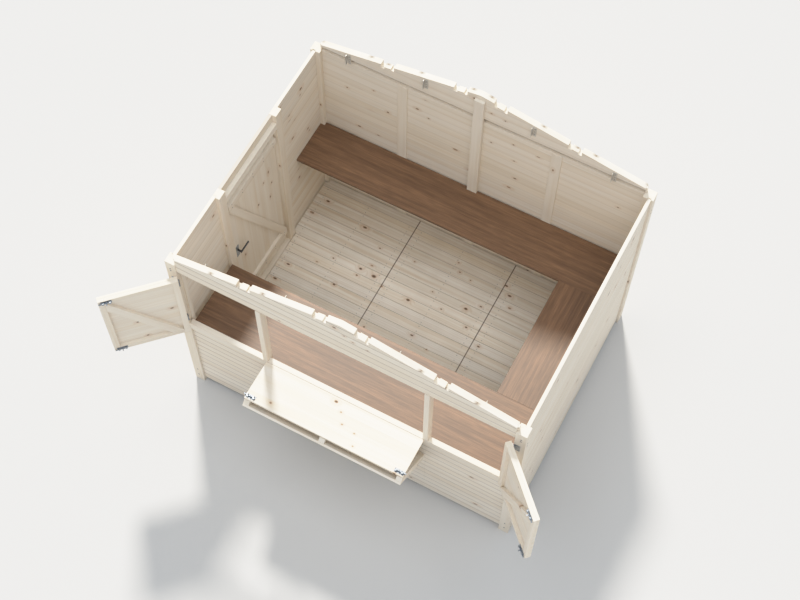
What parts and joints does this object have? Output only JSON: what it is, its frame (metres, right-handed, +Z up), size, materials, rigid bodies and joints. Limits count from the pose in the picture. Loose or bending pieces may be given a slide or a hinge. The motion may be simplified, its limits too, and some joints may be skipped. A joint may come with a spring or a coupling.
{
  "type": "wooden market stall",
  "caption": "Open-topped timber market booth with boarded walls, two side-hung shutters, a drop flap in the front, a ledged side door, a plank floor and worktops round the room.",
  "frame": {"origin": "on the ground in the middle of the four corner posts", "axes": "+X to the right along the front, +Y from the front to the back, +Z up"},
  "size_m": [3.6624, 2.7765, 2.4273],
  "materials": {
    "spruce_frame": "planed, untreated",
    "spruce_boards": "planed tongue and groove boards, untreated",
    "spruce_floor": "planed planks, untreated",
    "worktop": "walnut-brown stained",
    "fittings": "zinc-plated steel"
  },
  "bodies": {
    "stall": {"front_corner_posts": "spruce_frame", "back_corner_posts": "spruce_frame", "front_inner_posts": "spruce_frame", "door_posts": "spruce_frame", "back_studs": "spruce_frame", "front_sills": "spruce_frame", "front_gable": "spruce_frame", "back_gable": "spruce_frame", "door_threshold": "spruce_frame", "floor_joists": "spruce_frame", "worktop_cleats": "spruce_frame", "worktop_gussets": "spruce_frame", "flap_leaf_frame": "spruce_frame", "front_wall_left": "spruce_boards", "front_wall_middle": "spruce_boards", "front_wall_right": "spruce_boards", "back_wall": "spruce_boards", "left_wall_front": "spruce_boards", "left_wall_back": "spruce_boards", "door_lintel": "spruce_boards", "right_wall": "spruce_boards", "flap_boards": "spruce_boards", "flap_leaf_boards": "spruce_boards", "floor_left": "spruce_floor", "floor_middle": "spruce_floor", "floor_right": "spruce_floor", "worktop_back": "worktop", "worktop_right": "worktop", "worktop_front": "worktop", "gable_brackets": "fittings", "shutter_hinge_mounts": "fittings", "flap_hinge_mounts": "fittings", "door_hinge_mounts": "fittings", "flap_fittings": "fittings"},
    "shutter_left": {"shutter_left_boards": "spruce_boards", "shutter_left_frame": "spruce_frame", "shutter_left_fittings": "fittings"},
    "shutter_right": {"shutter_right_boards": "spruce_boards", "shutter_right_frame": "spruce_frame", "shutter_right_fittings": "fittings"},
    "door": {"door_boards": "spruce_boards", "door_ledges": "spruce_frame", "door_fittings": "fittings"}
  },
  "joints": [
    {"name": "shutter_left_hinge", "type": "hinge", "parent": "stall", "child": "shutter_left", "pos_m": [-1.402, -1.15, 1.5555], "axis": [0, 0, 1], "range_deg": [-35, 135]},
    {"name": "shutter_right_hinge", "type": "hinge", "parent": "stall", "child": "shutter_right", "pos_m": [1.402, -1.15, 1.5555], "axis": [0, 0, -1], "range_deg": [-35, 135]},
    {"name": "door_hinge", "type": "hinge", "parent": "stall", "child": "door", "pos_m": [-1.49, 0.361, 1], "axis": [0, 0, -1], "range_deg": [0, 100]}
  ]
}
